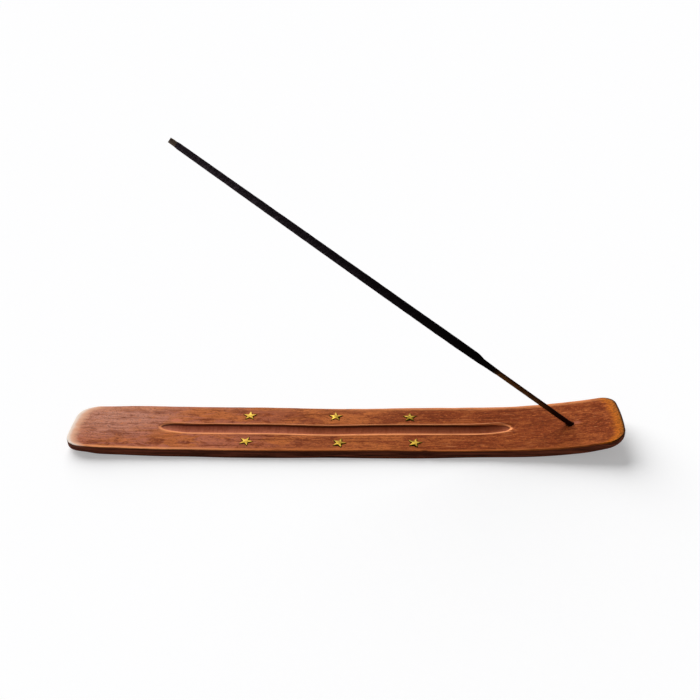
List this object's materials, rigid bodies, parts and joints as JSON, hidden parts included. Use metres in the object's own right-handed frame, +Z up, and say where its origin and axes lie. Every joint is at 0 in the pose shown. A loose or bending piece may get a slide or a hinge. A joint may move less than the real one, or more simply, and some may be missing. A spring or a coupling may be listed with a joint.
{
  "type": "incense stick holder",
  "caption": "Long narrow wooden incense stick holder with an upturned end, an ash groove, star inlays and a slanted hole with a removable incense stick.",
  "frame": {"origin": "centre of the board's outline on the surface that it rests on", "axes": "+X along the board towards its raised end, +Y across it, +Z up"},
  "size_m": [0.254, 0.034, 0.1441],
  "materials": {
    "stained_wood": "stained, thinly sealed, worn pale at the edges",
    "brass": "lightly tarnished",
    "bamboo": "bare split bamboo, darkened",
    "incense_paste": "dry matt powder paste"
  },
  "bodies": {
    "holder": {"board": "stained_wood", "star_far_left": "brass", "star_far_middle": "brass", "star_far_right": "brass", "star_near_left": "brass", "star_near_middle": "brass", "star_near_right": "brass"},
    "stick": {"bamboo_core": "bamboo", "incense_coat": "incense_paste"}
  },
  "joints": [
    {"name": "stick_pull", "type": "slide", "parent": "holder", "child": "stick", "axis": [-0.7727, 0, 0.6347], "range_m": [0, 0.03]}
  ]
}
